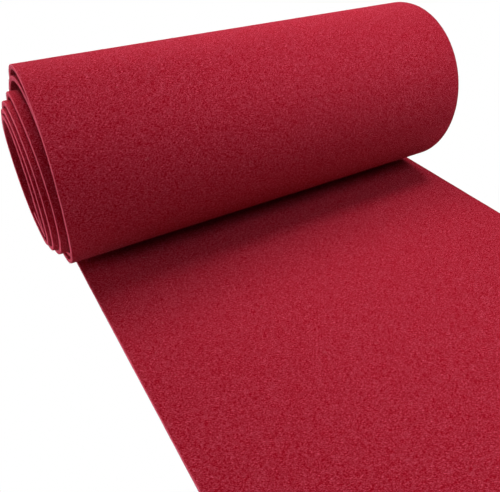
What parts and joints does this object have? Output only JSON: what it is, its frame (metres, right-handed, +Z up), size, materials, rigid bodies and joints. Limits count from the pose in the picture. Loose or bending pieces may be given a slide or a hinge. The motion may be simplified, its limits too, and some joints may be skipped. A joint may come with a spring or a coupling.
{
  "type": "roll of felt",
  "caption": "Length of thick crimson felt wound into a loose roll with an open core, its near end lying flat in front.",
  "frame": {"origin": "underside of the felt, straight below the roll's axis, at the middle of the flat end's width", "axes": "+X along the roll's axis, to the right seen from the loose end; +Y from the loose end to the roll; +Z up"},
  "size_m": [0.3186, 0.3703, 0.129],
  "materials": {
    "felt": "dull, short raised fibres"
  },
  "bodies": {
    "root": {"felt_length": "felt"}
  },
  "joints": []
}
